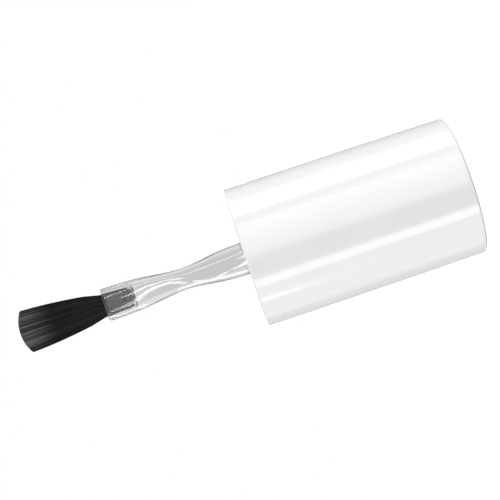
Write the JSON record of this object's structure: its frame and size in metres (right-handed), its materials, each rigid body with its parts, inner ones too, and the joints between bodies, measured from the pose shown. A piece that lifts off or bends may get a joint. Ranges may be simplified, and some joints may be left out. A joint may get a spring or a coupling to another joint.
{
  "type": "bottle cap nail brush",
  "caption": "Plain round screw cap with a built-in applicator: a waisted translucent stem and a flat flared tuft of dark filaments for acrylic or gel nail product.",
  "frame": {"origin": "centre of the cap's flat closed end, which the object stands on", "axes": "+Z along the cap's axis from the closed end to the bristle tip; the flat tuft is wide along X and thin along Y"},
  "size_m": [0.022, 0.022, 0.0712],
  "materials": {
    "shell_white": "glossy moulded white",
    "closure_white": "satin moulded white",
    "natural_polyethylene": "translucent, smooth",
    "plated_steel": "nickel plated",
    "black_nylon": "fine black filament"
  },
  "bodies": {
    "cap": {"outer_cap": "shell_white", "inner_cap": "closure_white", "brush_stem": "natural_polyethylene", "bristle_anchor": "plated_steel", "bristle_root": "black_nylon"},
    "tuft": {"bristle_tuft": "black_nylon"}
  },
  "joints": [
    {"name": "bristle_flex", "type": "hinge", "parent": "cap", "child": "tuft", "pos_m": [0, 0, 0.05855], "axis": [1, 0, 0], "range_deg": [-30, 30], "stiffness_Nm_per_rad": 0.0008}
  ]
}
